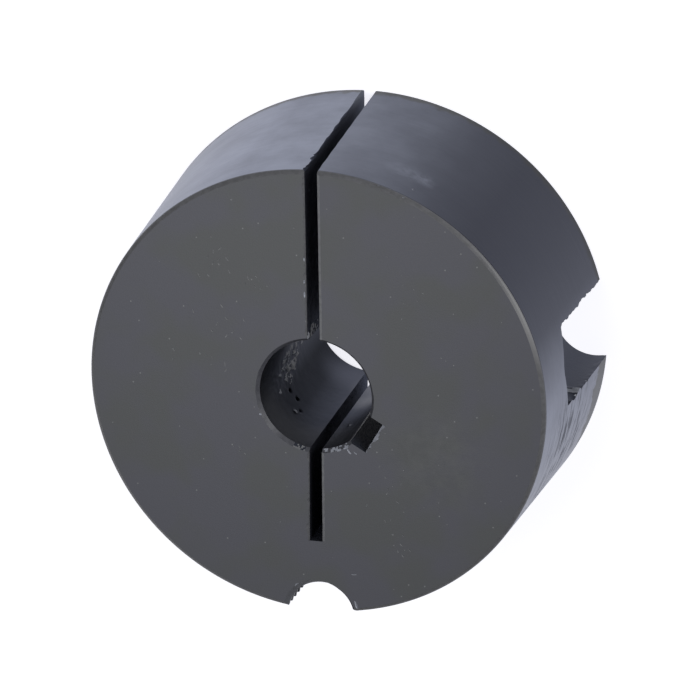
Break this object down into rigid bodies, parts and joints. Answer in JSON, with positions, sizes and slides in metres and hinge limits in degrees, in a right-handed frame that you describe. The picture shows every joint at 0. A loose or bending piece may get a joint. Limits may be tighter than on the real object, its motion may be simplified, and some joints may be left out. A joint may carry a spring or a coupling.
{
  "type": "taper bush",
  "caption": "Split taper bush: a metal cone sawn through on one side, with a keyed bore, a relief cut, a threaded jacking half hole and plain half-round screw pockets.",
  "frame": {"origin": "on the bore axis, in the plane of the large face", "axes": "+Z along the bore from the large face to the small face, +Y through the sawn gap that splits the bush"},
  "size_m": [0.0696, 0.0695, 0.0318],
  "materials": {
    "bush_metal": "machined, then blackened to a matte blue-grey; paler on the turned cone, darker on the faces"
  },
  "bodies": {
    "root": {"taper_bush": "bush_metal"}
  },
  "joints": []
}
